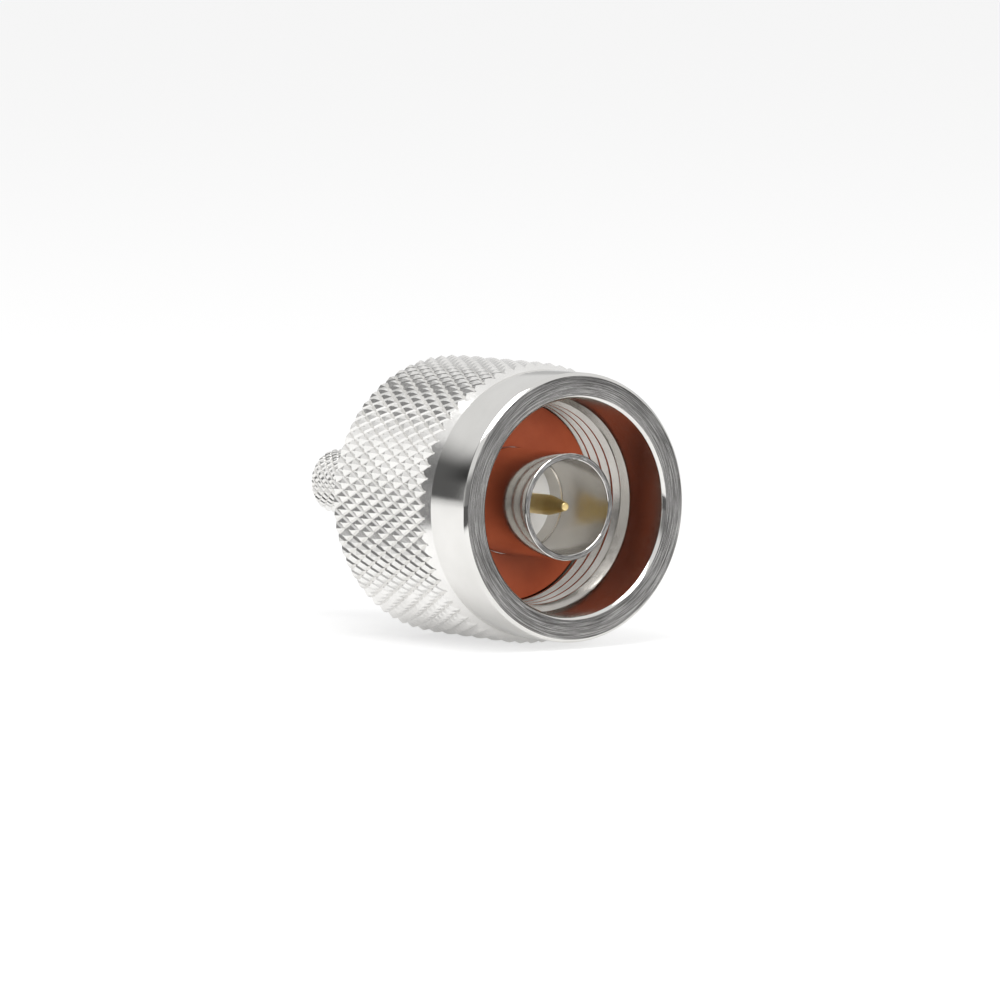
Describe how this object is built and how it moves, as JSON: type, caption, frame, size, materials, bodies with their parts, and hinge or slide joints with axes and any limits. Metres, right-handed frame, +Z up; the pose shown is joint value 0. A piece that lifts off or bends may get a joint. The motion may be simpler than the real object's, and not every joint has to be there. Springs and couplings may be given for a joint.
{
  "type": "n type cable plug",
  "caption": "Coaxial cable plug with a free-spinning diamond-knurled coupling nut, a red sealing ring, a thin contact sleeve round a gold centre pin, and a knurled hollow stem for the cable.",
  "frame": {"origin": "on the floor under the middle of the plug, which lies on its knurled nut", "axes": "Y along the plug's axis with the open mouth towards -Y and the cable stem towards +Y, Z up"},
  "size_m": [0.0208, 0.031, 0.0208],
  "materials": {
    "nickel": "bright nickel plate on brass",
    "spring_steel": "bare spring metal",
    "silicone": "matt red-brown silicone",
    "insulator": "turned white fluoroplastic",
    "gold_plate": "gold plate on brass"
  },
  "bodies": {
    "plug": {"outer_contact": "nickel", "rear_body": "nickel", "front_insulator": "insulator", "rear_insulator": "insulator", "centre_pin": "gold_plate", "gasket": "silicone", "retaining_ring": "spring_steel"},
    "nut": {"coupling_nut": "nickel"}
  },
  "joints": [
    {"name": "nut_spin", "type": "hinge", "parent": "plug", "child": "nut", "pos_m": [0, 0, 0.0104], "axis": [0, 1, 0], "continuous": true}
  ]
}
